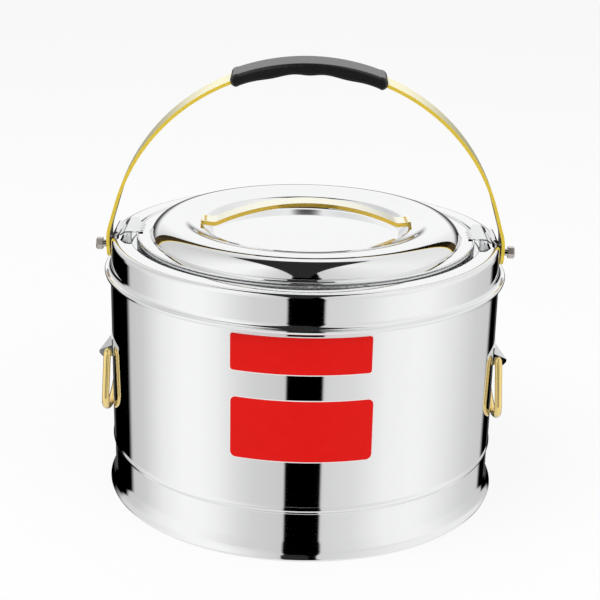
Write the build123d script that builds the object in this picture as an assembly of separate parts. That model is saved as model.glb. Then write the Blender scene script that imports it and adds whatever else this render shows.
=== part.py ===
from build123d import *
import os
from math import sqrt

# Insulated serving casserole: a double-walled steel pot with poured foam, a lift-off insulated lid
# held down by two lugs, a swinging brass carrying bail and two drop handles on the sides.
# Millimetres. Origin on the standing surface at the pot's axis, +Z up, bail pivots along X,
# the bail leans towards -Y.

# ---- driving dimensions ----
body_radius = 150.0          # outer wall of the pot
sheet = 0.8                  # general steel sheet
shell_base_z = 41.5          # lower edge of the outer wall, over the base pan
shell_top_z = 175.0

lower_band_radius = 149.2    # base pan below its step
bead_radius = 150.9          # corner of the rounded bead under the outer wall's lower edge
collar_radius = 149.1        # base pan collar inside the outer wall
collar_top_z = 50.0
foot_radius = 153.3
pan_floor_z = 6.0

ring_sheet = 1.0             # shoulder ring
band_radius = 149.1
band_fillet = 5.0
lip_radius = 154.7
lip_top_z = 175.4
lip_bottom_z = 172.3
deck_z = 199.2
deck_edge_radius = 4.5
deck_inner_radius = 134.0
ledge_z = 190.2              # ledge that carries the liner's rim

liner_radius = 123.7         # inside radius of the food pot
liner_floor_z = 24.8
liner_corner = 14.0
rim_top_z = 199.4
rim_outer_radius = 129.5
foam_gap = 0.1

lid_flange_radius = 129.7
lid_flange_z = 200.5
lid_curl = 0.85
lid_wall_radius = 119.2
lid_crest_z = 213.0
lid_dish_radius = 71.0
plug_radius = 122.7
plug_floor_z = 191.0

lid_handle_width = 18.0
lid_handle_thick = 3.0
lid_handle_radius = 162.0    # underside of the arch
lid_handle_low_z = 223.1     # underside of the arch at its middle
lid_handle_bend_x = 69.5
lid_handle_end_x = 80.4
lid_handle_bend = 8.0
lid_handle_turn = 3.3        # degrees about Z

lug_sheet = 0.9
lug_tip_x = 124.3
lug_bend_x = 127.5
lug_crease_x = 131.4          # the tongue has risen to the wide plate here
lug_end_x = 140.8
lug_end_z = 201.3            # clear of the deck
lug_top_z = 204.2
lug_tip_half = 11.5
lug_half = 21.0
keeper_in_x = 141.9
keeper_out_x = 147.4
keeper_height = 3.2
keeper_half = 16.0

pivot_z = 188.2
bail_lean = 5.44             # degrees, top towards -Y
bail_width = 22.0
bail_thick = 2.5
bail_leg_x = 152.7           # outer face of the straight lower leg
bail_arc_radius = 151.5
bail_arc_drop = 6.5          # arc centre below the pivot
bail_tangent_h = 38.0        # height where the leg runs into the arc
bail_end_h = -9.5

grip_width = 25.0
grip_half = 52.5             # to the start of the rounded ends
grip_over = 3.2              # over the strap
grip_edge = 2.0

bolt_shank = 2.75
bolt_head_x = 156.8
bolt_head_length = 5.0
bolt_head_radius = 4.9
pivot_clearance = 0.05
washer_radius = 6.5
washer_thick = 0.8
nut_radius = 5.2
nut_length = 4.0

bracket_half = 34.0
bracket_tip_x = 156.6
bracket_bottom_z = 107.6
bracket_edge_z = 112.6       # top of the ear's outer edge
bracket_fold_z = 117.0       # fold between an ear's upright face and its sloping face, at the wall
bracket_peak = (148.6, 22.0, 121.5)
bracket_sheet = 1.2
bracket_plate = 0.8          # thickness of the plate on the wall
drop_rod = 2.8
drop_half = 38.0
drop_pivot_x = 150.1
drop_pivot_z = 111.4
drop_elbow = 3.6             # bend radius at the pins
drop_corner = 12.0
drop_bow = 62.0              # radius of the bowed bottom
drop_bottom_z = 57.4
drop_pin = 8.0
drop_tilt = 3.35             # degrees outwards from the pins down

os.makedirs("parts", exist_ok=True)


def corner_outline(corners):
    """Closed face in the XZ plane through (r, z) or (r, z, corner radius) corners."""
    points = [Vector(c[0], c[1]) for c in corners]
    radii = [c[2] if len(c) > 2 else 0 for c in corners]
    count = len(corners)
    starts, edges = [], []
    for i in range(count):
        here = points[i]
        back = (points[i - 1] - here).normalized()
        ahead = (points[(i + 1) % count] - here).normalized()
        if radii[i] == 0:
            starts.append((here, here))
            continue
        half = (1 + back.dot(ahead)) / 2
        cos_half, sin_half = sqrt(half), sqrt(1 - half)
        reach = radii[i] * cos_half / sin_half
        middle = here + (back + ahead).normalized() * (radii[i] / sin_half - radii[i])
        starts.append((here + back * reach, here + ahead * reach))
        edges.append(ThreePointArc(here + back * reach, middle, here + ahead * reach))
    for i in range(count):
        leave, arrive = starts[i][1], starts[(i + 1) % count][0]
        if (arrive - leave).length > 1e-6:
            edges.append(Line(leave, arrive))
    return make_face(Plane.XZ * Curve(edges))


def turned(corners):
    """Solid of revolution about Z from a closed outline."""
    return revolve(corner_outline(corners), Axis.Z)


def sheet_corners(path, thickness, side):
    """Closed outline of a sheet that follows a path of (r, z, radius) corners.
    side is +1 for material on the left of the path and -1 for the right."""
    points = [Vector(p[0], p[1]) for p in path]
    last = len(points) - 1
    far = []
    for i, here in enumerate(points):
        radius = path[i][2] if len(path[i]) > 2 else 0
        if i == 0 or i == last:
            along = (points[1] - here if i == 0 else here - points[last - 1]).normalized()
            shift = Vector(-along.Y, along.X) * thickness * side
            far.append((here.X + shift.X, here.Y + shift.Y))
            continue
        first = (here - points[i - 1]).normalized()
        second = (points[i + 1] - here).normalized()
        normal_1 = Vector(-first.Y, first.X) * side
        normal_2 = Vector(-second.Y, second.X) * side
        scale = thickness / (1 + normal_1.dot(normal_2))
        shift = (normal_1 + normal_2) * scale
        turn = (first.X * second.Y - first.Y * second.X) * side
        far_radius = max(radius - thickness, 0) if turn > 0 else radius + thickness
        far.append((here.X + shift.X, here.Y + shift.Y, far_radius if radius else 0))
    return list(path) + far[::-1]


def turned_sheet(path, thickness, side):
    return turned(sheet_corners(path, thickness, side))


def along_x(radius, x_from, x_to, z):
    """Round bar along X."""
    return Plane((x_from, 0, z), x_dir=(0, 1, 0), z_dir=(1, 0, 0)) * Cylinder(
        radius, x_to - x_from, align=(Align.CENTER, Align.CENTER, Align.MIN))


def save(solid, name, colour):
    solids = solid.solids()
    assert len(solids) == 1, (name, len(solids))
    part = solids[0]
    part.label = name
    part.color = Color(*colour)
    export_step(part, f"parts/{name}.step")


def left_of(solid):
    """The same piece on the -X side, turned half way round the axis."""
    return Rot(0, 0, 180) * solid


steel = (0.80, 0.81, 0.82)
brass = (0.86, 0.70, 0.36)
foam_colour = (0.93, 0.88, 0.70)
dark = (0.12, 0.12, 0.12)

# ---- pot ----
outer_shell = turned([
    (body_radius - sheet, shell_base_z), (body_radius, shell_base_z),
    (body_radius, shell_top_z), (body_radius - sheet, shell_top_z)])

pan_inner = collar_radius - sheet
base_pan = turned([
    (0, pan_floor_z), (pan_inner, pan_floor_z, 1.2), (151.2, 0, 0.3), (152.8, 0, 0.6),
    (foot_radius + 0.1, 1.6, 0.7), (150.5, 5.4, 8.0), (lower_band_radius, 13.0, 20.0),
    (lower_band_radius, 35.8, 1.0), (bead_radius, 38.8, 2.6),
    (149.7, 41.4, 0.2), (collar_radius, 41.4),
    (collar_radius, collar_top_z), (pan_inner, collar_top_z),
    (pan_inner, pan_floor_z + sheet, 2.0), (0, pan_floor_z + sheet)])

top_ring = turned_sheet([
    (body_radius + 0.1, lip_bottom_z), (153.8, lip_bottom_z, 1.0),
    (lip_radius, lip_top_z, 1.1), (band_radius, lip_top_z, band_fillet - 1.0),
    (band_radius, deck_z, deck_edge_radius), (deck_inner_radius, deck_z, 1.4),
    (deck_inner_radius, ledge_z, 1.1), (125.0, ledge_z)], ring_sheet, 1)
for sign in (1, -1):
    low, high = sorted((sign * 140.0, sign * 152.0))
    top_ring -= along_x(bolt_shank + pivot_clearance, low, high, pivot_z)

inner_pot = turned_sheet([
    (0, liner_floor_z), (liner_radius, liner_floor_z, liner_corner),
    (liner_radius, rim_top_z, 1.7), (rim_outer_radius, rim_top_z, 1.7),
    (rim_outer_radius, ledge_z + 0.1)], sheet, -1)

# ---- bail pivots: bolt, washer and nut on each side ----
head = Plane((bolt_head_x, 0, pivot_z), x_dir=(0, 1, 0), z_dir=(1, 0, 0)) * extrude(
    RegularPolygon(bolt_head_radius, 6), bolt_head_length)
head = chamfer(head.faces().sort_by(Axis.X)[-1].edges(), 0.9)
nut_end_x = band_radius - ring_sheet - 0.5
bolt_tip_x = nut_end_x - nut_length - 1.0
bolt = head + along_x(bolt_shank, bolt_tip_x, bolt_head_x + 0.5, pivot_z)
washer = (along_x(washer_radius, band_radius, band_radius + washer_thick, pivot_z)
          - along_x(bolt_shank + pivot_clearance, 140, 160, pivot_z))
nut = Plane((nut_end_x - nut_length, 0, pivot_z), x_dir=(0, 1, 0), z_dir=(1, 0, 0)) * extrude(
    RegularPolygon(nut_radius, 6), nut_length)
nut -= along_x(bolt_shank, 130, 160, pivot_z)

# ---- foam, poured between the liner and the outer sheets ----
foam_in = liner_radius + sheet + foam_gap
ring_in = band_radius - ring_sheet - foam_gap
seat_out = deck_inner_radius + ring_sheet + foam_gap
ledge_under = ledge_z - ring_sheet - foam_gap
foam = turned([
    (0, pan_floor_z + sheet + foam_gap), (pan_inner - foam_gap, pan_floor_z + sheet + foam_gap, 2.5),
    (pan_inner - foam_gap, collar_top_z + foam_gap),
    (body_radius - sheet - foam_gap, collar_top_z + foam_gap),
    (body_radius - sheet - foam_gap, 173.0), (ring_in, 176.0),
    (ring_in, deck_z - ring_sheet - foam_gap, deck_edge_radius - ring_sheet),
    (seat_out, deck_z - ring_sheet - foam_gap, 0.8), (seat_out, ledge_under),
    (foam_in, ledge_under), (foam_in, liner_floor_z - sheet - foam_gap, liner_corner + sheet),
    (0, liner_floor_z - sheet - foam_gap)])
for sign in (1, -1):
    low, high = sorted((sign * (bolt_tip_x - 0.5), sign * 150))
    foam -= along_x(nut_radius + 0.3, low, high, pivot_z)

# ---- keepers on the deck, one in front of each lug ----
def keeper_shape():
    outline = make_face(Plane.XZ * Curve([
        Line((keeper_in_x, deck_z), (keeper_in_x + 0.4, deck_z + keeper_height - 1.0)),
        ThreePointArc((keeper_in_x + 0.4, deck_z + keeper_height - 1.0),
                      ((keeper_in_x + keeper_out_x) / 2, deck_z + keeper_height),
                      (keeper_out_x - 0.9, deck_z + keeper_height - 1.3)),
        Line((keeper_out_x - 0.9, deck_z + keeper_height - 1.3), (keeper_out_x - 0.9, deck_z + 0.4)),
        Line((keeper_out_x - 0.9, deck_z + 0.4), (keeper_out_x - 2.0, deck_z)),
        Line((keeper_out_x - 2.0, deck_z), (keeper_in_x, deck_z))]))
    block = extrude(outline, keeper_half, both=True)
    hollow = Pos((keeper_in_x + keeper_out_x) / 2 - 0.3, 0, deck_z) * Box(
        2.4, 2 * keeper_half - 2, 2 * (keeper_height - 1.6))
    return block - hollow


keeper = keeper_shape()


# ---- side brackets: a plate spot-welded to the wall, its two ends folded out as ears ----
def bracket_ear():
    """An upright face that carries the pin, folded over into a sloping face that runs back to the wall."""
    tip = Vector(bracket_tip_x, -bracket_half, bracket_edge_z)
    peak = Vector(bracket_peak[0], -bracket_peak[1], bracket_peak[2])
    root = Vector(bracket_peak[0] - 2.5, -bracket_half, bracket_fold_z)
    slope = (peak - tip).cross(root - tip).normalized()
    slope = slope if slope.Z > 0 else -slope
    run = (peak.Y - tip.Y) / (tip.X - peak.X)
    plan = Plane.XY.offset(bracket_bottom_z) * make_face(Polyline(
        (tip.X, tip.Y), (130, tip.Y), (130, tip.Y + run * (tip.X - 130)), close=True))
    above = Box(200, 200, 60, align=(Align.CENTER, Align.CENTER, Align.MIN))
    block = extrude(plan, 30) - Plane(tip, z_dir=slope) * above
    corner = make_face(Plane.XZ * Polyline(
        (bracket_tip_x - 3.2, bracket_bottom_z - 1), (bracket_tip_x + 1, bracket_bottom_z - 1),
        (bracket_tip_x + 1, bracket_bottom_z + 4.0), close=True))
    block -= extrude(corner, 60, both=True)
    inside = Pos(150, bracket_sheet - bracket_half, bracket_bottom_z - 5) * Box(
        80, 80, 60, align=(Align.CENTER, Align.MIN, Align.MIN))
    inside -= Plane(tip - slope * bracket_sheet, z_dir=slope) * above
    return block - inside


wall = Cylinder(body_radius, 400, align=(Align.CENTER, Align.CENTER, Align.MIN))
ear = bracket_ear()
plate_top = bracket_peak[2]
plate_ring = Cylinder(body_radius + bracket_plate, plate_top, align=(Align.CENTER, Align.CENTER, Align.MIN))
upper_strip = Pos(150, 0, plate_top) * Box(60, 2 * bracket_half, 5.9, align=(
    Align.CENTER, Align.CENTER, Align.MAX))
middle = Pos(150, 0, plate_top) * Box(60, 54, plate_top - bracket_bottom_z, align=(
    Align.CENTER, Align.CENTER, Align.MAX))
bracket = (plate_ring & (upper_strip + middle)) + ear + mirror(ear, Plane.XZ) - wall
for sign in (1, -1):
    hole_y = sign * (bracket_half - bracket_sheet / 2)
    bracket -= Plane((drop_pivot_x, hole_y, drop_pivot_z), z_dir=(0, 1, 0)) * Cylinder(
        drop_rod + pivot_clearance, 4 * bracket_sheet)


# ---- drop handles: bent rod with its ends turned in through the bracket ----
def drop_handle():
    bow_z = drop_bottom_z + drop_bow
    corner_y = drop_half - drop_corner
    corner_z = bow_z - sqrt((drop_bow - drop_corner) ** 2 - corner_y ** 2)
    out_y = corner_y / (drop_bow - drop_corner)
    out_z = (corner_z - bow_z) / (drop_bow - drop_corner)
    meet = (out_y * drop_bow, bow_z + out_z * drop_bow)
    elbow_in = (drop_half - drop_elbow, drop_pivot_z)
    elbow_out = (drop_half, drop_pivot_z - drop_elbow)
    half = [Line((drop_half - drop_pin, drop_pivot_z), elbow_in),
            TangentArc(elbow_in, elbow_out, tangent=(1, 0)),
            Line(elbow_out, (drop_half, corner_z)),
            TangentArc((drop_half, corner_z), meet, tangent=(0, -1)),
            TangentArc((0, drop_bottom_z), meet, tangent=(1, 0))]
    upright = Plane((drop_pivot_x, 0, 0), x_dir=(0, 1, 0), z_dir=(1, 0, 0))
    path = Wire((upright * Curve(half)).edges())
    start = Plane((drop_pivot_x, drop_half - drop_pin, drop_pivot_z), z_dir=(0, 1, 0))
    right = sweep(start * Circle(drop_rod), path=path)
    whole = right + mirror(right, Plane.XZ)
    pin_axis = Axis((drop_pivot_x, 0, drop_pivot_z), (0, 1, 0))
    return whole.rotate(pin_axis, -drop_tilt)


drop = drop_handle()

# ---- lid ----
lid_path = [
    (0, lid_flange_z), (lid_dish_radius, lid_flange_z, 3.0), (79.6, 208.9, 5.0),
    (88.0, 210.3, 35.0), (95.5, lid_crest_z, 24.0), (112.8, lid_crest_z, 20.5),
    (lid_wall_radius, 201.8, 1.6), (lid_wall_radius + 0.4, lid_flange_z, 0.5),
    (lid_flange_radius - lid_curl, lid_flange_z)]
lid_sheet_corners = sheet_corners(lid_path, sheet, -1)
lid_top = turned(lid_sheet_corners)
curl = Plane.XZ * Pos(lid_flange_radius - lid_curl, lid_flange_z + 0.05) * Circle(lid_curl)
lid_top += revolve(curl, Axis.Z)

plug_rim_z = lid_flange_z - sheet
lid_liner = turned_sheet([
    (0, plug_floor_z), (plug_radius, plug_floor_z, 5.0), (plug_radius, plug_rim_z, 0.9),
    (lid_wall_radius - 1.0, plug_rim_z)], sheet, 1)

foam_top = [(r, z - foam_gap, *extra) for r, z, *extra in lid_sheet_corners[len(lid_path):]]
foam_top = [p for p in foam_top if p[0] < lid_wall_radius - 2][::-1]
lid_foam = turned([
    *foam_top, (lid_wall_radius - sheet - 0.6, plug_rim_z - sheet - foam_gap),
    (plug_radius - sheet - foam_gap, plug_rim_z - sheet - foam_gap),
    (plug_radius - sheet - foam_gap, plug_floor_z + sheet + foam_gap, 4.0),
    (0, plug_floor_z + sheet + foam_gap)])

# ---- lid handle: arched strap with its feet turned up onto the dish edge ----
arc_centre_z = lid_handle_low_z - lid_handle_radius


def arch_z(x, radius):
    return arc_centre_z + sqrt(radius ** 2 - x ** 2)


bend_low_z = arch_z(lid_handle_bend_x, lid_handle_radius)
foot_rise = 1.5
top_radius = lid_handle_radius + lid_handle_thick
bend_top_x = lid_handle_bend_x + 0.3
under = ThreePointArc((-lid_handle_bend_x, bend_low_z), (0, lid_handle_low_z),
                      (lid_handle_bend_x, bend_low_z))
over = ThreePointArc((-bend_top_x, arch_z(bend_top_x, top_radius)),
                     (0, lid_handle_low_z + lid_handle_thick),
                     (bend_top_x, arch_z(bend_top_x, top_radius)))
feet = []
for side in (1, -1):
    foot_end = (side * lid_handle_end_x, bend_low_z + foot_rise)
    foot_top = (side * (lid_handle_end_x - 0.4), bend_low_z + foot_rise + lid_handle_thick)
    feet += [Line((side * lid_handle_bend_x, bend_low_z), foot_end), Line(foot_end, foot_top),
             Line(foot_top, (side * bend_top_x, arch_z(bend_top_x, top_radius)))]
strap_face = make_face(Plane.XZ * Curve([under, over, *feet]))
lid_handle = extrude(strap_face, lid_handle_width / 2, both=True)
bends = lid_handle.edges().filter_by(Axis.Y).filter_by_position(Axis.X, 65, 75)
bends += lid_handle.edges().filter_by(Axis.Y).filter_by_position(Axis.X, -75, -65)
lid_handle = fillet(bends, lid_handle_bend)
lid_handle = Rot(0, 0, lid_handle_turn) * lid_handle - lid_top


# ---- lugs on the lid flange ----
def lug_shape():
    outline = corner_outline(sheet_corners([
        (lug_tip_x, lid_flange_z + lug_sheet), (lug_bend_x, lid_flange_z + lug_sheet, 1.2),
        (lug_crease_x, lug_top_z, 1.4), (137.2, lug_top_z - 0.2, 3.5), (lug_end_x, lug_end_z)],
        lug_sheet, -1))
    block = extrude(outline, lug_half, both=True)
    plan = make_face(Polyline(
        (lug_tip_x - 1, -lug_tip_half), (lug_bend_x, -lug_tip_half), (lug_crease_x, -lug_half),
        (lug_end_x + 1, -lug_half), (lug_end_x + 1, lug_half), (lug_crease_x, lug_half),
        (lug_bend_x, lug_tip_half), (lug_tip_x - 1, lug_tip_half), close=True))
    return block & (Pos(0, 0, 190) * extrude(plan, 30))


lug = lug_shape() - lid_top

# ---- bail: flat brass strap, straight at the pivots, round over the lid ----
tangent_x = sqrt(bail_arc_radius ** 2 - (bail_tangent_h + bail_arc_drop) ** 2)
lean_rate = (bail_tangent_h + bail_arc_drop) / tangent_x
knee_h = bail_tangent_h - (bail_leg_x - tangent_x) / lean_rate
half_corners = sheet_corners([
    (bail_leg_x, bail_end_h), (bail_leg_x, knee_h, 40.0), (tangent_x, bail_tangent_h)],
    bail_thick, 1)
inner_tangent = half_corners[3]
leg_face = corner_outline(half_corners)
inner_arc_radius = bail_arc_radius - bail_thick
arc_top = bail_arc_radius - bail_arc_drop
bow_face = make_face(Plane.XZ * Curve([
    ThreePointArc((tangent_x, bail_tangent_h), (0, arc_top), (-tangent_x, bail_tangent_h)),
    Line((-tangent_x, bail_tangent_h), (-inner_tangent[0], inner_tangent[1])),
    ThreePointArc((-inner_tangent[0], inner_tangent[1]), (0, arc_top - bail_thick),
                  (inner_tangent[0], inner_tangent[1])),
    Line((inner_tangent[0], inner_tangent[1]), (tangent_x, bail_tangent_h))]))
leg = extrude(leg_face, bail_width / 2, both=True)
strap = extrude(bow_face, bail_width / 2, both=True) + leg + mirror(leg, Plane.YZ)
round_centre_h = bail_end_h + bail_width / 2
end_block = Pos(0, 0, round_centre_h) * Box(
    400, bail_width + 4, 40, align=(Align.CENTER, Align.CENTER, Align.MAX))
strap -= end_block - along_x(bail_width / 2, -200, 200, round_centre_h)
strap -= along_x(bolt_shank + pivot_clearance, -200, 200, 0)

# grip: moulded over the strap, with shallow finger waves below
grip_radius = bail_arc_radius + grip_over


def over_h(x, radius=grip_radius):
    return sqrt(radius ** 2 - x ** 2) - bail_arc_drop


end_low = (53.0, 129.3)
waves = [(38.0, 134.2), (27.0, 136.1), (10.0, 139.5), (0.0, 138.9)]
under_points = ([(-end_low[0], end_low[1])] + [(-x, h) for x, h in waves]
                + waves[-2::-1] + [end_low])
end_top = (grip_half + 2.0, over_h(grip_half + 2.0) - 0.6)
grip_face = make_face(Plane.XZ * Curve([
    ThreePointArc((-grip_half, over_h(grip_half)), (0, over_h(0)), (grip_half, over_h(grip_half))),
    Spline(*under_points),
    ThreePointArc((grip_half, over_h(grip_half)), (57.5, 133.0), end_low),
    ThreePointArc((-grip_half, over_h(grip_half)), (-57.5, 133.0), (-end_low[0], end_low[1]))]))
grip = extrude(grip_face, grip_width / 2, both=True)
long_edges = grip.edges().filter_by(lambda e: abs(abs(e.center().Y) - grip_width / 2) < 0.01)
grip = fillet(long_edges, grip_edge) - strap

stand = Pos(0, 0, pivot_z) * Rot(bail_lean, 0, 0)
bail_strap = stand * strap
bail_grip = stand * grip

# ---- write every piece ----
pieces = {
    "outer_shell": (outer_shell, steel), "base_pan": (base_pan, steel),
    "shoulder_ring": (top_ring, steel), "inner_pot": (inner_pot, steel),
    "pot_foam": (foam, foam_colour),
    "lid_top": (lid_top, steel), "lid_liner": (lid_liner, steel),
    "lid_foam": (lid_foam, foam_colour), "lid_handle": (lid_handle, brass),
    "bail_strap": (bail_strap, brass), "bail_grip": (bail_grip, dark)}
paired = {
    "lug": (lug, steel), "lug_keeper": (keeper, steel), "pivot_bolt": (bolt, brass),
    "pivot_washer": (washer, steel), "pivot_nut": (nut, steel),
    "side_bracket": (bracket, steel), "drop_handle": (drop, brass)}
for name, (solid, colour) in paired.items():
    pieces[name + "_right"] = (solid, colour)
    pieces[name + "_left"] = (left_of(solid), colour)
for name, (solid, colour) in pieces.items():
    save(solid, name, colour)
print(len(pieces), "pieces")
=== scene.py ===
import bpy
import bmesh
from math import cos, pi, radians, sin, sqrt
from mathutils import Matrix, Vector


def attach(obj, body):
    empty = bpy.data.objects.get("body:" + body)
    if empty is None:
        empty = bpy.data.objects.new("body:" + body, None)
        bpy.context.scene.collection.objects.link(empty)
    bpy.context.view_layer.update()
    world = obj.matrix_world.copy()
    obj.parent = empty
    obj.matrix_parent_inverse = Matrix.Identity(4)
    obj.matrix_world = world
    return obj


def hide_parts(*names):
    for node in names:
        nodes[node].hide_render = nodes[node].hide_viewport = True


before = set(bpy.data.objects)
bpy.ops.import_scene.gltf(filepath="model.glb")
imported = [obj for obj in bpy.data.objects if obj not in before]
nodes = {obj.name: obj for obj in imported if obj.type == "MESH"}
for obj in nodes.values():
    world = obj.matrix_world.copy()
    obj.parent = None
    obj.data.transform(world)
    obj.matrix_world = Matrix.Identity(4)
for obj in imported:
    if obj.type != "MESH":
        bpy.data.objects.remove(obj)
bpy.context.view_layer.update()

# Dresses an insulated serving casserole. The frame's nodes stay where they are and get materials.
# Four large turned sheets are spun again, finely, because they are mirrors. Bare red plates and
# spot-weld marks are added, then a floor, a studio that only reflections see, lights and a camera.

# ---- driving dimensions, in millimetres as in the part ----
MM = 0.001
sheet = 0.8                     # wall, base pan and lid
ring_sheet = 1.0                # shoulder ring
wall_radius = 150.0
wall_low_z = 41.5
wall_top_z = 175.0

band_low_radius = 149.2         # base pan below its step
bead_radius = 150.9             # rounded bead under the wall's lower edge
collar_radius = 149.1           # base pan's collar inside the wall
collar_top_z = 50.0
step_z = 41.4
foot_radius = 153.4
pan_floor_z = 6.0

band_radius = 149.1             # shoulder ring above its lip
lip_radius = 154.7
lip_low_z = 172.3
lip_top_z = 175.4
deck_z = 199.2
deck_inner_radius = 134.0
ledge_z = 190.2                 # carries the rim of the food vessel

flange_z = 200.5                # upper face of the lid's flange and of its dish
curl_radius = 0.85              # rolled edge of the flange
curl_centre_radius = 128.85
dish_radius = 71.0
crest_z = 213.0
lid_wall_radius = 119.2

bail_arc_z = 181.7              # centres of the arcs that the straps follow
lid_handle_arc_z = 61.1
lid_handle_turn = radians(3.3)

plate_border = 0.7              # pale edge round the red plates
border_corner = 0.4             # the edge's corners have this much more radius
edge_film_faces = (0.02, 0.10)  # inner and outer face of each film, over the wall
red_film_faces = (0.05, 0.16)

weld_radius = 1.3
weld_profile = ((1.0, 0.0), (0.82, 1.0), (0.55, 0.55))   # shares of a mark's radius and height
lug_weld_height = 0.3
lug_weld_x = 126.0
lug_weld_ys = (-5.0, 2.5, 10.0)
lug_face_z = 202.28             # just under the upper face of the lugs' tongues
foot_weld_height = 0.35
foot_weld_x = 77.0
foot_weld_ys = (-5.2, 0.0, 5.2)
foot_face_x = (74, 80)          # the flat faces of the lid handle's feet are between these

# ---- how finely curves are divided ----
spin_steps = 360                # round the axis
arc_step = radians(4)           # along a bend of an outline
curl_steps = 24
corner_step = 15                # degrees, at a plate's corners
plate_step = 2                  # millimetres, along a plate
weld_steps = 20


# ---- helpers for node trees ----
def feed(tree, node, inputs):
    """Gives each of these inputs a value, or a link from another node's output."""
    for key, value in inputs.items():
        if isinstance(value, bpy.types.NodeSocket):
            tree.links.new(value, node.inputs[key])
        else:
            node.inputs[key].default_value = value


def add(tree, kind, inputs=None, **settings):
    """A new node with these settings and inputs."""
    node = tree.nodes.new(kind)
    for key, value in settings.items():
        setattr(node, key, value)
    feed(tree, node, inputs or {})
    return node


def calc(tree, operation, *values):
    return add(tree, "ShaderNodeMath", dict(enumerate(values)), operation=operation).outputs[0]


def split(tree, vector):
    node = add(tree, "ShaderNodeSeparateXYZ", {"Vector": vector})
    return [node.outputs[axis] for axis in "XYZ"]


def mixed_value(tree, factor, first, second):
    values = {"Factor": factor, "A": first, "B": second}
    return add(tree, "ShaderNodeMix", values, data_type="FLOAT").outputs["Result"]


def mixed_colour(tree, factor, first, second):
    colours = {"Factor": factor, "A": (*first, 1), "B": (*second, 1)}
    return add(tree, "ShaderNodeMix", colours, data_type="RGBA").outputs["Result"]


def ranged(tree, value, low, high):
    """A value between 0 and 1 spread evenly between low and high."""
    limits = {"Value": value, "To Min": low, "To Max": high}
    return add(tree, "ShaderNodeMapRange", limits).outputs["Result"]


def smooth(tree, value, start, end):
    """Goes smoothly from 0 where the value is start to 1 where it is end."""
    limits = {"Value": value, "From Min": start, "From Max": end}
    return add(tree, "ShaderNodeMapRange", limits, interpolation_type="SMOOTHSTEP").outputs["Result"]


def noise(tree, vector, scale, detail=3.0, rough=0.5):
    return add(tree, "ShaderNodeTexNoise", {
        "Vector": vector, "Scale": scale, "Detail": detail, "Roughness": rough}).outputs["Fac"]


def bump(tree, height, distance, strength=1.0):
    return add(tree, "ShaderNodeBump", {
        "Height": height, "Distance": distance, "Strength": strength}).outputs["Normal"]


def stretched(tree, scale=(1, 1, 1)):
    """The object's own coordinates, each with its own scale."""
    coord = add(tree, "ShaderNodeTexCoord")
    return add(tree, "ShaderNodeMapping", {
        "Vector": coord.outputs["Object"], "Scale": scale}).outputs["Vector"]


def round_coords(tree, around, up, out):
    """Coordinates round the pot's axis: angle, height and radius, each with its own scale."""
    coord = add(tree, "ShaderNodeTexCoord")
    x, y, z = split(tree, coord.outputs["Object"])
    angle = calc(tree, "ARCTAN2", y, x)
    flat = add(tree, "ShaderNodeCombineXYZ", {"X": x, "Y": y}).outputs["Vector"]
    radius = add(tree, "ShaderNodeVectorMath", {0: flat}, operation="LENGTH").outputs["Value"]
    return add(tree, "ShaderNodeCombineXYZ", {
        "X": calc(tree, "MULTIPLY", angle, around),
        "Y": calc(tree, "MULTIPLY", z, up),
        "Z": calc(tree, "MULTIPLY", radius, out)}).outputs["Vector"]


# ---- materials; bump distances are in metres ----
def new_material(name):
    mat = bpy.data.materials.new(name)
    mat.use_nodes = True
    tree = mat.node_tree
    return mat, tree, tree.nodes["Principled BSDF"]


def polished_steel(name, around=0.6, out=900):
    """Mirror-polished sheet with faint buffing lines round the axis and a trace of unevenness."""
    mat, tree, shader = new_material(name)
    lines = noise(tree, round_coords(tree, around, up=900, out=out), 1.0, detail=4.0, rough=0.6)
    waves = noise(tree, stretched(tree), 22.0, detail=2.0)
    feed(tree, shader, {
        "Metallic": 1.0,
        "Base Color": mixed_colour(tree, lines, (0.885, 0.888, 0.892), (0.925, 0.928, 0.932)),
        "Roughness": ranged(tree, lines, 0.025, 0.06),
        "Normal": bump(tree, waves, distance=0.00003, strength=0.5)})
    return mat


def brushed_steel(name):
    """Satin sheet with turned brushing lines."""
    mat, tree, shader = new_material(name)
    turned = round_coords(tree, around=3.0, up=2500, out=2500)
    lines = noise(tree, turned, 1.0, detail=5.0, rough=0.7)
    feed(tree, shader, {
        "Metallic": 1.0,
        "Base Color": mixed_colour(tree, lines, (0.62, 0.63, 0.64), (0.78, 0.79, 0.80)),
        "Roughness": ranged(tree, lines, 0.22, 0.38),
        "Normal": bump(tree, lines, distance=0.00002, strength=0.6)})
    return mat


def folded_steel(name):
    """Small stamped fittings: bright, a little less flat than the turned sheet."""
    mat, tree, shader = new_material(name)
    grain = noise(tree, stretched(tree), 320.0, detail=4.0, rough=0.6)
    waves = noise(tree, stretched(tree), 90.0, detail=2.0)
    feed(tree, shader, {
        "Metallic": 1.0,
        "Base Color": mixed_colour(tree, grain, (0.72, 0.725, 0.73), (0.84, 0.845, 0.85)),
        "Roughness": ranged(tree, grain, 0.03, 0.08),
        "Normal": bump(tree, waves, distance=0.00005, strength=0.3)})
    return mat


def brass(name, pale, deep, rough, scale=(1, 1, 1), metallic=1.0):
    """Drawn brass, or another metal of two tones: fine streaks and a slightly uneven tone."""
    mat, tree, shader = new_material(name)
    streaks = noise(tree, stretched(tree, scale), 60.0)
    patches = noise(tree, stretched(tree), 14.0, detail=2.0)
    feed(tree, shader, {
        "Metallic": metallic,
        "Base Color": mixed_colour(tree, patches, deep, pale),
        "Roughness": ranged(tree, streaks, *rough),
        "Normal": bump(tree, streaks, distance=0.00001, strength=0.12)})
    return mat


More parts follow.
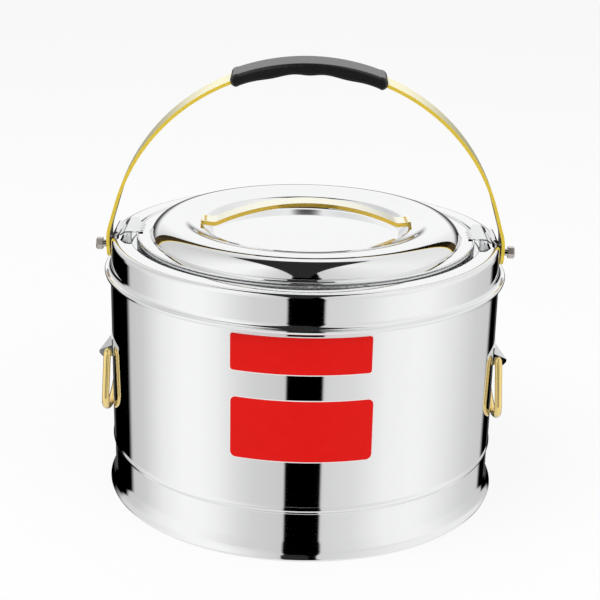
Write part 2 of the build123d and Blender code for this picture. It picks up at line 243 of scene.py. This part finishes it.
def grip_plastic(name):
    """Moulded black plastic with a fine spark-eroded grain."""
    mat, tree, shader = new_material(name)
    grain = noise(tree, stretched(tree), 1400.0, rough=0.6)
    cloud = noise(tree, stretched(tree), 40.0)
    feed(tree, shader, {
        "Base Color": mixed_colour(tree, cloud, (0.007, 0.007, 0.007), (0.012, 0.012, 0.012)),
        "Roughness": ranged(tree, grain, 0.18, 0.30),
        "IOR": 1.5,
        "Normal": bump(tree, grain, distance=0.00006, strength=0.6)})
    return mat


def foam(name):
    """Poured rigid foam, hidden between the sheets."""
    mat, tree, shader = new_material(name)
    cells = noise(tree, stretched(tree), 500.0, detail=4.0)
    feed(tree, shader, {
        "Base Color": mixed_colour(tree, cells, (0.78, 0.68, 0.40), (0.90, 0.82, 0.56)),
        "Roughness": ranged(tree, cells, 0.8, 0.95),
        "Normal": bump(tree, cells, distance=0.0006)})
    return mat


def plate_paint(name, first, second):
    """Glossy film: even colour with a faint mottle."""
    mat, tree, shader = new_material(name)
    mottle = noise(tree, stretched(tree), 120.0, detail=4.0)
    fine = noise(tree, stretched(tree), 900.0)
    feed(tree, shader, {
        "Base Color": mixed_colour(tree, mottle, first, second),
        "Roughness": ranged(tree, fine, 0.28, 0.4),
        "Specular IOR Level": 0.12,
        "Normal": bump(tree, fine, distance=0.00002, strength=0.4)})
    return mat


mirror_steel = polished_steel("mirror_steel")
lid_steel = polished_steel("lid_steel", around=0.8, out=1100)
small_steel = folded_steel("small_steel")
satin_steel = brushed_steel("satin_steel")

along_strap = (1, 4, 1)         # the straps run in X and Z, and their streaks with them
# paler brasses for the straps' outer faces: a painted highlight, lit copies of the edge brass that
# stand in for the white reflection on the upward faces
painted_highlight_face_brass = brass("painted_highlight_face_brass", pale=(1.0, 0.95, 0.66), deep=(0.98, 0.91, 0.52),
                   rough=(0.20, 0.26), scale=along_strap, metallic=0.35)
painted_highlight_pale_brass = brass("painted_highlight_pale_brass", pale=(1.0, 0.98, 0.84), deep=(0.99, 0.96, 0.77),
                   rough=(0.18, 0.24), scale=along_strap, metallic=0.85)
bail_edge_brass = brass("bail_edge_brass", pale=(1.0, 0.76, 0.08), deep=(0.97, 0.69, 0.06),
                        rough=(0.24, 0.30), scale=along_strap, metallic=0.25)
foot_edge_brass = brass("foot_edge_brass", pale=(1.0, 0.71, 0.12), deep=(0.90, 0.60, 0.07),
                        rough=(0.26, 0.34), scale=along_strap, metallic=0.8)
# near-black brass for the bail's inner face: painted shade, a shaded copy of the strap's brass
painted_shade_inner_brass = brass("painted_shade_inner_brass", pale=(0.14, 0.09, 0.035), deep=(0.06, 0.038, 0.016),
                    rough=(0.20, 0.28), scale=along_strap)
rod_brass = brass("rod_brass", pale=(1.0, 0.80, 0.36), deep=(0.94, 0.68, 0.22),
                  rough=(0.10, 0.16), metallic=0.85)
# bolt heads: the darker grey is their own steel, and the brown patches are a painted reflection of the
# brass strap
bolt_metal_painted_glint = brass("bolt_metal_painted_glint", pale=(0.66, 0.63, 0.60), deep=(0.38, 0.30, 0.24),
                   rough=(0.06, 0.14))

black_plastic = grip_plastic("black_plastic")
rigid_foam = foam("rigid_foam")
red_film = plate_paint("red_film", (0.73, 0.004, 0.002), (0.78, 0.007, 0.004))
white_film = plate_paint("white_film", (0.80, 0.80, 0.80), (0.86, 0.86, 0.86))


# ---- the frame's nodes ----
def dress(name, mat):
    mesh = nodes[name].data
    mesh.materials.clear()
    mesh.materials.append(mat)
    for face in mesh.polygons:
        face.material_index = 0


def dress_strap(name, arc_z, outer, inner=None):
    """Gives a dressed strap's outer face, and its inner one where asked, a material of its own: a
    paler brass on the outer face as a painted highlight, a dark brass on the inner face as painted
    shade.
    """
    mesh = nodes[name].data
    mesh.materials.append(outer)
    if inner:
        mesh.materials.append(inner)
    face_on = 0.8
    for face in mesh.polygons:
        out = Vector((face.center.x, 0, face.center.z - arc_z * MM)).normalized()
        facing = face.normal.dot(out)
        if facing > face_on:
            face.material_index = 1
        elif inner and facing < -face_on:
            face.material_index = 2


looks = {
    "outer_shell": mirror_steel, "base_pan": mirror_steel, "shoulder_ring": mirror_steel,
    "inner_pot": satin_steel, "pot_foam": rigid_foam, "lid_foam": rigid_foam,
    "lid_top": lid_steel, "lid_liner": satin_steel, "lid_handle": foot_edge_brass,
    "bail_strap": bail_edge_brass, "bail_grip": black_plastic,
}
for side in ("left", "right"):
    for fitting in ("lug_", "lug_keeper_", "pivot_washer_", "pivot_nut_", "side_bracket_"):
        looks[fitting + side] = small_steel
    looks["pivot_bolt_" + side] = bolt_metal_painted_glint
    looks["drop_handle_" + side] = rod_brass
for name, mat in looks.items():
    dress(name, mat)
# the straps' outer faces are paler than their edges, a painted highlight, and the bail's inner face is
# dark, painted shade
dress_strap("bail_strap", bail_arc_z, painted_highlight_face_brass, painted_shade_inner_brass)
dress_strap("lid_handle", lid_handle_arc_z, painted_highlight_pale_brass)


# ---- helpers for new pieces ----
def placed(name, mesh, mat):
    """An object of this mesh, in the scene and in one material."""
    mesh.materials.append(mat)
    obj = bpy.data.objects.new(name, mesh)
    bpy.context.collection.objects.link(obj)
    return obj


def closed_mesh(name, bm):
    bmesh.ops.recalc_face_normals(bm, faces=bm.faces[:])
    mesh = bpy.data.meshes.new(name)
    bm.to_mesh(mesh)
    bm.free()
    return mesh


# ---- outlines of turned sheets, given as (radius, height, corner radius) corners ----
def outline_runs(corners):
    """The closed outline as straight and round runs of (r, z, normal r, normal z)."""
    straight, shortest = 0.9999, 1e-5
    count = len(corners)
    spots = [Vector(c[:2]) for c in corners]
    turns = []
    for i in range(count):
        here, radius = spots[i], corners[i][2] if len(corners[i]) > 2 else 0
        back = (spots[i - 1] - here).normalized()
        ahead = (spots[(i + 1) % count] - here).normalized()
        half = (1 + back.dot(ahead)) / 2
        if radius == 0 or half > straight:
            turns.append((here, here, None))
            continue
        cos_half, sin_half = sqrt(half), sqrt(1 - half)
        reach = radius * cos_half / sin_half
        centre = here + (back + ahead).normalized() * radius / sin_half
        turns.append((here + back * reach, here + ahead * reach, centre))
    area = sum(spots[i - 1].x * spots[i].y - spots[i].x * spots[i - 1].y for i in range(count))
    outward = 1 if area > 0 else -1
    runs = []
    for i in range(count):
        start, end, centre = turns[i]
        if centre is not None:
            runs.append(bend_run(centre, start - centre, end - centre, outward))
        leave, arrive = end, turns[(i + 1) % count][0]
        if (arrive - leave).length > shortest:
            along = (arrive - leave).normalized()
            normal = Vector((along.y, -along.x)) * outward
            runs.append([(v.x, v.y, normal.x, normal.y) for v in (leave, arrive)])
    return runs


def bend_run(centre, first, last, outward):
    """One rounded corner, from centre + first round to centre + last."""
    sweep = first.angle_signed(last)
    steps = max(2, int(abs(sweep) / arc_step) + 1)
    bulges = (sweep < 0) == (outward > 0)
    run = []
    for k in range(steps + 1):
        a = -sweep * k / steps
        arm = Vector((first.x * cos(a) - first.y * sin(a), first.x * sin(a) + first.y * cos(a)))
        spot, normal = centre + arm, arm.normalized() * (1 if bulges else -1)
        run.append((spot.x, spot.y, normal.x, normal.y))
    return run


def curl_run():
    """The rolled edge of the lid's flange: a whole circle that reaches down to its underside."""
    centre_z = flange_z - sheet + curl_radius
    angles = (2 * pi * k / curl_steps for k in range(curl_steps + 1))
    return [(curl_centre_radius + curl_radius * cos(a), centre_z + curl_radius * sin(a),
             cos(a), sin(a)) for a in angles]


def sheet_outline(path, thickness, side):
    """Closed outline of a sheet whose one face follows the path."""
    spots = [Vector(c[:2]) for c in path]
    last = len(spots) - 1
    far = []
    for i, here in enumerate(spots):
        radius = path[i][2] if len(path[i]) > 2 else 0
        if i in (0, last):
            along = (spots[1] - here if i == 0 else here - spots[last - 1]).normalized()
            far.append((here.x - along.y * thickness * side, here.y + along.x * thickness * side))
            continue
        one = (here - spots[i - 1]).normalized()
        two = (spots[i + 1] - here).normalized()
        normals = Vector((-one.y - two.y, one.x + two.x)) * side
        turn = (one.x * two.y - one.y * two.x) * side
        far_radius = max(radius - thickness, 0) if turn > 0 else radius + thickness
        spot = here + normals * thickness / (1 + one.dot(two))
        far.append((spot.x, spot.y, far_radius if radius else 0))
    return list(path) + far[::-1]


# ---- the four large turned sheets ----
def spin(name, node, runs, mat):
    """Spins the runs round the axis, with the exact normals of their arcs and straights."""
    verts, faces, normals, index = [], [], [], {}
    on_axis = 1e-4

    def turned(r, z, step):
        a = 2 * pi * step / spin_steps
        return r * cos(a), r * sin(a), z

    def ring(r, z):
        """The first vertex of the ring there, and how many it has."""
        key = (round(r, 4), round(z, 4))
        if key not in index:
            count = 1 if r < on_axis else spin_steps
            index[key] = (len(verts), count)
            for k in range(count):
                verts.append([v * MM for v in turned(r, z, k)])
        return index[key]

    for run in runs:
        for one, two in zip(run, run[1:]):
            (first, n1), (second, n2) = ring(*one[:2]), ring(*two[:2])
            if n1 == 1 and n2 == 1:
                continue
            for k in range(spin_steps):
                m = (k + 1) % spin_steps
                corners = [(first + k % n1, one, k), (second + k % n2, two, k),
                           (second + m % n2, two, m), (first + m % n1, one, m)]
                corners = [c for j, c in enumerate(corners) if c[0] != corners[j - 1][0]]
                here, ahead, beyond = (Vector(verts[c[0]]) for c in corners[:3])
                facing = (ahead - here).cross(beyond - ahead)
                wanted = Vector(turned(*one[2:], k + 0.5)) + Vector(turned(*two[2:], k + 0.5))
                if facing.dot(wanted) < 0:
                    corners.reverse()
                faces.append([c[0] for c in corners])
                normals.extend(turned(*spot[2:], step) for _, spot, step in corners)
    mesh = bpy.data.meshes.new(name)
    mesh.from_pydata(verts, [], faces)
    mesh.polygons.foreach_set("use_smooth", [True] * len(faces))
    mesh.normals_split_custom_set(normals)
    obj = placed(name, mesh, mat)
    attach(obj, "lid" if node == "lid_top" else "pot")
    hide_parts(node)


wall_inner = wall_radius - sheet
spin("wall_sheet", "outer_shell", outline_runs([
    (wall_inner, wall_low_z), (wall_radius, wall_low_z),
    (wall_radius, wall_top_z), (wall_inner, wall_top_z)]), mirror_steel)

pan_inner = collar_radius - sheet
spin("base_pan_sheet", "base_pan", outline_runs([
    (0, pan_floor_z), (pan_inner, pan_floor_z, 1.2), (151.2, 0, 0.3), (152.8, 0, 0.6),
    (foot_radius, 1.6, 0.7), (150.5, 5.4, 8.0), (band_low_radius, 13.0, 20.0),
    (band_low_radius, 35.8, 1.0), (bead_radius, 38.8, 2.6),
    (149.7, step_z, 0.2), (collar_radius, step_z),
    (collar_radius, collar_top_z), (pan_inner, collar_top_z),
    (pan_inner, pan_floor_z + sheet, 2.0), (0, pan_floor_z + sheet)]), mirror_steel)

spin("shoulder_ring_sheet", "shoulder_ring", outline_runs(sheet_outline([
    (wall_radius + 0.1, lip_low_z), (153.8, lip_low_z, 1.0),
    (lip_radius, lip_top_z, 1.1), (band_radius, lip_top_z, 4.0),
    (band_radius, deck_z, 4.5), (deck_inner_radius, deck_z, 1.4),
    (deck_inner_radius, ledge_z, 1.1), (125.0, ledge_z)], ring_sheet, 1)), mirror_steel)

lid_outline = sheet_outline([
    (0, flange_z), (dish_radius, flange_z, 3.0), (79.6, 208.9, 5.0), (88.0, 210.3, 35.0),
    (95.5, crest_z, 24.0), (112.8, crest_z, 20.5), (lid_wall_radius, 201.8, 1.6),
    (lid_wall_radius + 0.4, flange_z, 0.5), (curl_centre_radius, flange_z)], sheet, -1)
spin("lid_sheet", "lid_top", [*outline_runs(lid_outline), curl_run()], lid_steel)


# ---- bare plates on the front wall ----
def wrapped_plate(name, mat, half_x, z_low, z_high, corner, film_faces, turn):
    """A thin film bent round the wall, with rounded corners."""
    bm = bmesh.new()
    outline = []
    right, high, low = half_x - corner, z_high - corner, z_low + corner
    for cx, cz, start in ((right, high, 0), (-right, high, 90), (-right, low, 180), (right, low, 270)):
        for degrees in range(start, start + 91, corner_step):
            a = radians(degrees)
            outline.append((cx + corner * cos(a), cz + corner * sin(a)))
    bm.faces.new([bm.verts.new((x, z, 0)) for x, z in outline])
    bm.normal_update()
    for cut in range(-int(half_x), int(half_x) + 1, plate_step):
        bmesh.ops.bisect_plane(bm, geom=bm.verts[:] + bm.edges[:] + bm.faces[:],
                               plane_co=(cut, 0, 0), plane_no=(1, 0, 0))
    outer_geom = bmesh.ops.extrude_face_region(bm, geom=bm.faces[:])["geom"]
    inner, outer = (wall_radius + over for over in film_faces)
    for v in bm.verts:
        v.co.z = inner
    for v in outer_geom:
        if isinstance(v, bmesh.types.BMVert):
            v.co.z = outer
    for v in bm.verts:
        along, height, radius = v.co
        a = along / wall_radius + turn
        v.co = Vector((radius * sin(a), -radius * cos(a), height)) * MM
    obj = placed(name, closed_mesh(name, bm), mat)
    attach(obj, "pot")


def bordered_plate(name, half_x, z_low, z_high, corner, turn=0.0):
    """A red plate, and under it the pale film that shows as its edge."""
    wrapped_plate(name + "_edge", white_film, half_x + plate_border, z_low - plate_border,
                  z_high + plate_border, corner + border_corner, edge_film_faces, turn)
    wrapped_plate(name, red_film, half_x, z_low, z_high, corner, red_film_faces, turn)


bordered_plate("upper_plate", half_x=49.7, z_low=141.9, z_high=169.0, corner=2.0, turn=radians(-0.45))
bordered_plate("lower_plate", half_x=50.5, z_low=76.7, z_high=122.3, corner=4.0)


# ---- spot-weld marks ----
def weld_marks(name, body, mat, spots, height):
    """Low round weld dimples, each a shallow lens with a rim; spots are (centre, normal) in mm."""
    bm = bmesh.new()
    angles = [2 * pi * k / weld_steps for k in range(weld_steps)]
    for centre, normal in spots:
        turn = Vector(normal).to_track_quat("Z", "Y").to_matrix().to_4x4()
        place = Matrix.Translation(Vector(centre) * MM) @ turn
        rings = []
        for wide, high in weld_profile:
            r, h = wide * weld_radius, high * height
            rings.append([bm.verts.new(place @ Vector((r * cos(a) * MM, r * sin(a) * MM, h * MM)))
                          for a in angles])
        for lower, upper in zip(rings, rings[1:]):
            for k in range(weld_steps):
                m = (k + 1) % weld_steps
                bm.faces.new((lower[k], lower[m], upper[m], upper[k]))
        bm.faces.new(rings[-1])
    mesh = closed_mesh(name, bm)
    for face in mesh.polygons:
        face.use_smooth = True
    obj = placed(name, mesh, mat)
    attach(obj, body)


def foot_spots(sign):
    """Weld spots across one foot of the lid handle, on the foot's upper face."""
    low, high = foot_face_x
    facing_up = 0.5
    flats = [f for f in nodes["lid_handle"].data.polygons
             if f.normal.z > facing_up and low * MM < sign * f.center.x < high * MM]
    flat = max(flats, key=lambda f: f.area)
    turn = Matrix.Rotation(lid_handle_turn, 3, "Z")
    spots = []
    for across in foot_weld_ys:
        spot = turn @ Vector((sign * foot_weld_x, across, 0)) * MM
        slope = (spot - flat.center).to_2d().dot(flat.normal.to_2d()) / flat.normal.z
        spot.z = flat.center.z - slope
        spots.append((spot / MM, flat.normal))
    return spots


for side, sign in (("left", -1), ("right", 1)):
    lug_spots = [((sign * lug_weld_x, y, lug_face_z), (0, 0, 1)) for y in lug_weld_ys]
    weld_marks("lug_welds_" + side, "lid", small_steel, lug_spots, lug_weld_height)
    weld_marks("handle_welds_" + side, "lid", foot_edge_brass, foot_spots(sign),
               foot_weld_height)


# ---- floor, world, lights and camera, in metres ----
def make_floor():
    """A pale table that the camera sees nearly white and that the mirrors don't see."""
    half, z, white_share = 6.0, -0.0004, 0.8
    mesh = bpy.data.meshes.new("floor")
    mesh.from_pydata([(-half, -half, z), (half, -half, z), (half, half, z), (-half, half, z)],
                     [], [(0, 1, 2, 3)])
    mat, tree, shader = new_material("floor_white")
    tone = noise(tree, stretched(tree), 3.0, detail=2.0)
    feed(tree, shader, {
        "Base Color": mixed_colour(tree, tone, (0.92, 0.92, 0.92), (0.93, 0.93, 0.93)),
        "Roughness": 0.9,
        "Specular IOR Level": 0.1})
    white = add(tree, "ShaderNodeEmission").outputs[0]
    path = add(tree, "ShaderNodeLightPath")
    share = calc(tree, "MULTIPLY", path.outputs["Is Camera Ray"], white_share)
    blend = add(tree, "ShaderNodeMixShader", {0: share, 1: shader.outputs[0], 2: white})
    tree.links.new(blend.outputs[0], tree.nodes["Material Output"].inputs["Surface"])
    floor = placed("floor", mesh, mat)
    floor.visible_glossy = False


make_floor()

# The studio's panels, as (azimuth in degrees, brightness): 0 is towards the camera, 90 is +X.
# The stretches at 0.0 are black flags. Over the horizon the low panels give way to the high ones.
low_panels = [
    (-180, 0.12), (-158, 0.07), (-155, 0.0), (-126, 0.0), (-122, 0.60), (-108, 0.66), (-90, 0.90),
    (-74, 1.0), (-62, 1.0), (-50, 0.93), (-38, 0.78), (-28, 0.69), (-9.3, 0.63), (-8.7, 0.0),
    (12.1, 0.0), (12.7, 0.70), (30, 0.76), (50, 0.94), (68, 0.98), (78, 0.96), (92, 0.87),
    (108, 0.75), (120, 0.67), (139, 0.62), (144, 0.0), (156, 0.0), (160, 0.07), (180, 0.12)]
high_panels = [
    (-180, 1.0), (-162, 1.0), (-146, 0.76), (-130, 0.66), (-110, 0.74), (-90, 0.88), (-70, 1.0),
    (-50, 1.0), (-36, 0.86), (-25, 0.74), (-9.3, 0.63), (-8.7, 0.0), (11.5, 0.0), (12.1, 0.68),
    (30, 0.74), (50, 0.84), (70, 0.92), (90, 0.94), (110, 0.88), (130, 0.84), (146, 0.86),
    (162, 1.0), (180, 1.0)]
flag_level = 0.024
table_level = 0.85
diffuse_level = 0.70
seen_level = 1.0

# Where the studio's parts meet, in x, y and z of the ray's unit direction
horizon_z = (0.0, 0.20)         # from the low panels to the high ones
flag_half_width = 0.30          # the ceiling flag where y is 0
flag_taper = 0.27               # added to the half width for each unit of y
flag_offset = 0.03              # how far the flag lies towards -X
flag_side_blend = (-0.006, 0.006)
flag_back_y = (0.31, 0.28)
flag_low_z = (0.55, 0.62)
table_z = (-0.56, -0.66)


def panel_ramp(tree, turn, stops):
    ramp = add(tree, "ShaderNodeValToRGB", {"Fac": turn})
    line = ramp.color_ramp
    while len(line.elements) < len(stops):
        line.elements.new(0.5)
    for element, (angle, value) in zip(line.elements, stops):
        element.position = (angle + 180) / 360
        element.color = (value, value, value, 1)
    return ramp.outputs["Color"]


def studio_level(tree):
    """How bright the studio is in a reflected ray's direction."""
    coord = add(tree, "ShaderNodeTexCoord")
    x, y, z = split(tree, coord.outputs["Generated"])
    azimuth = calc(tree, "ARCTAN2", x, calc(tree, "MULTIPLY", y, -1.0))
    turn = calc(tree, "MULTIPLY_ADD", azimuth, 0.5 / pi, 0.5)
    sides = mixed_value(tree, smooth(tree, z, *horizon_z), panel_ramp(tree, turn, low_panels),
                        panel_ramp(tree, turn, high_panels))

    # a dark ceiling flag, widest just behind the pot and narrowing towards the camera
    half_width = calc(tree, "MULTIPLY_ADD", y, flag_taper, flag_half_width)
    off_centre = calc(tree, "ABSOLUTE", calc(tree, "ADD", x, flag_offset))
    across = smooth(tree, calc(tree, "SUBTRACT", half_width, off_centre), *flag_side_blend)
    along = calc(tree, "MULTIPLY", smooth(tree, y, *flag_back_y), smooth(tree, z, *flag_low_z))
    flagged = mixed_value(tree, calc(tree, "MULTIPLY", across, along), sides, flag_level)

    # rays that go steeply down see the white table close to the pot
    return mixed_value(tree, smooth(tree, z, *table_z), flagged, table_level)


def make_world():
    """Reflections see the studio. Camera and transmission rays see plain white, and diffuse rays
    an even soft light."""
    world = bpy.data.worlds.new("studio")
    bpy.context.scene.world = world
    world.use_nodes = True
    tree = world.node_tree
    tree.nodes.clear()
    path = add(tree, "ShaderNodeLightPath").outputs
    lit = mixed_value(tree, path["Is Glossy Ray"], diffuse_level, studio_level(tree))
    plain = calc(tree, "MAXIMUM", path["Is Camera Ray"], path["Is Transmission Ray"])
    background = add(tree, "ShaderNodeBackground", {
        "Color": (1, 1, 1, 1), "Strength": mixed_value(tree, plain, lit, seen_level)})
    add(tree, "ShaderNodeOutputWorld", {"Surface": background.outputs["Background"]})


make_world()


def soft_light(name, place, size, power):
    """A round soft light that no mirror shows, turned to the middle of the pot."""
    data = bpy.data.lights.new(name, "AREA")
    data.shape = "DISK"
    data.size = size
    data.energy = power
    obj = bpy.data.objects.new(name, data)
    bpy.context.collection.objects.link(obj)
    obj.location = place
    pot_middle = Vector((0, 0, 0.1))
    obj.rotation_euler = (pot_middle - Vector(place)).to_track_quat("-Z", "Y").to_euler()
    obj.visible_glossy = False


soft_light("key", place=(-0.9, -0.7, 2.2), size=1.6, power=18)
soft_light("fill", place=(1.2, -1.2, 1.6), size=1.6, power=9)


def make_camera():
    """The photograph's view: 1.016 m in front of the axis and 0.49 m up, looking down."""
    place = (0, -1.016, 0.48975)
    yaw, pitch, roll = -0.0032, 0.3269, 0.0220
    ahead = Vector((sin(yaw) * cos(pitch), cos(yaw) * cos(pitch), -sin(pitch)))
    level = Vector((cos(yaw), -sin(yaw), 0))
    over = level.cross(ahead)
    right = cos(roll) * level + sin(roll) * over
    up = -sin(roll) * level + cos(roll) * over
    turn = Matrix((right, up, -ahead)).transposed()
    data = bpy.data.cameras.new("camera")
    data.sensor_width = 36.0
    data.lens = 81.99
    data.clip_start = 0.01
    camera = bpy.data.objects.new("camera", data)
    bpy.context.collection.objects.link(camera)
    camera.matrix_world = Matrix.Translation(place) @ turn.to_4x4()
    bpy.context.scene.camera = camera


make_camera()
bpy.context.scene.view_settings.view_transform = "Standard"
